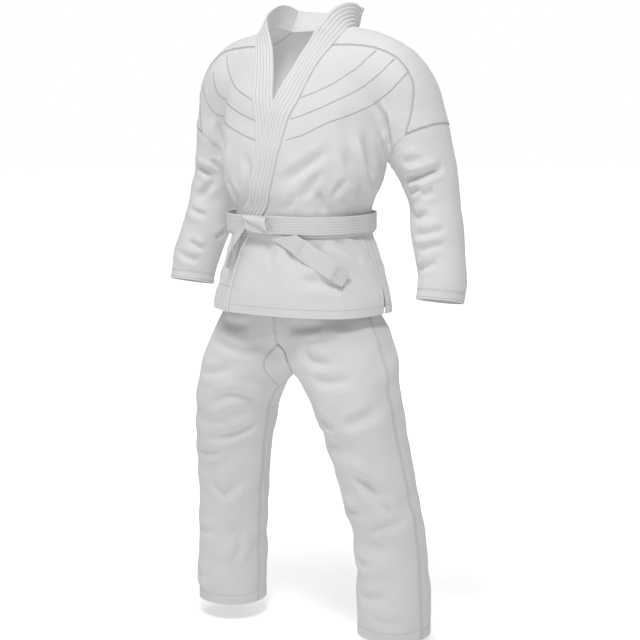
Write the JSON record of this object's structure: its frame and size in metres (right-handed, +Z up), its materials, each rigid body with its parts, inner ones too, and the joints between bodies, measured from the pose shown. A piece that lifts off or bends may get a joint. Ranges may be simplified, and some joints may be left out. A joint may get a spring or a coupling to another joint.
{
  "type": "jiu-jitsu gi",
  "caption": "Plain white jiu-jitsu gi as worn with no wearer: wrapped jacket with a ribbed lapel, knotted belt with a rank bar, and loose trousers.",
  "frame": {"origin": "middle of the waist at the height of the belt, where the wearer holds it up", "axes": "+Z up, -Y the garment's front, +X the wearer's left"},
  "size_m": [0.8626, 0.3578, 1.5228],
  "materials": {
    "cloth": "matte",
    "collar_cloth": "matte",
    "belt_cloth": "matte",
    "bar_cloth": "matte"
  },
  "bodies": {
    "root": {"jacket_front_left": "cloth", "jacket_front_right": "cloth", "jacket_back": "cloth", "sleeve_left": "cloth", "sleeve_right": "cloth", "shoulder_panel_left": "cloth", "shoulder_panel_right": "cloth", "trouser_front_left": "cloth", "trouser_front_right": "cloth", "trouser_back_left": "cloth", "trouser_back_right": "cloth", "trouser_waistband": "cloth", "trouser_gusset": "cloth", "collar": "collar_cloth", "belt_wrap_inner": "belt_cloth", "belt_wrap_outer": "belt_cloth", "belt_knot": "belt_cloth", "belt_end_right": "belt_cloth", "belt_end_left": "belt_cloth", "belt_rank_bar": "bar_cloth"}
  },
  "joints": []
}
